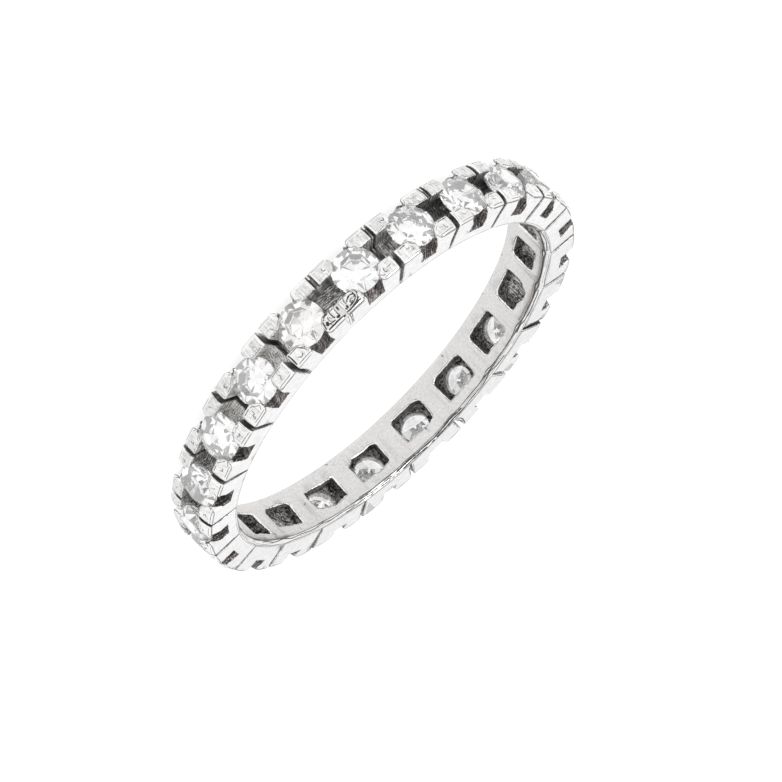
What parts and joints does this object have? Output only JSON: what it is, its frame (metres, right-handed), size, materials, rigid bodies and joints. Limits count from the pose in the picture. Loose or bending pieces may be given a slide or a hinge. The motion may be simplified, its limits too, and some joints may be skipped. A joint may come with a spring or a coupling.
{
  "type": "eternity ring",
  "caption": "Full eternity finger ring: round stones in claw settings all the way round a pierced white metal band with saw-cut sides.",
  "frame": {"origin": "on the ring's axis, in the side face that the ring lies on", "axes": "+Z along the ring's axis, away from the surface that the ring lies on; +X is 7.5 degrees before the first stone"},
  "size_m": [0.0208, 0.0208, 0.0024],
  "materials": {
    "white_gold": "polished side faces, satin finger side, worn claw tops, dark unpolished recesses",
    "diamond": "flat polished facets"
  },
  "bodies": {
    "root": {"band": "white_gold", "stone_01": "diamond", "stone_02": "diamond", "stone_03": "diamond", "stone_04": "diamond", "stone_05": "diamond", "stone_06": "diamond", "stone_07": "diamond", "stone_08": "diamond", "stone_09": "diamond", "stone_10": "diamond", "stone_11": "diamond", "stone_12": "diamond", "stone_13": "diamond", "stone_14": "diamond", "stone_15": "diamond", "stone_16": "diamond", "stone_17": "diamond", "stone_18": "diamond", "stone_19": "diamond", "stone_20": "diamond", "stone_21": "diamond"}
  },
  "joints": []
}
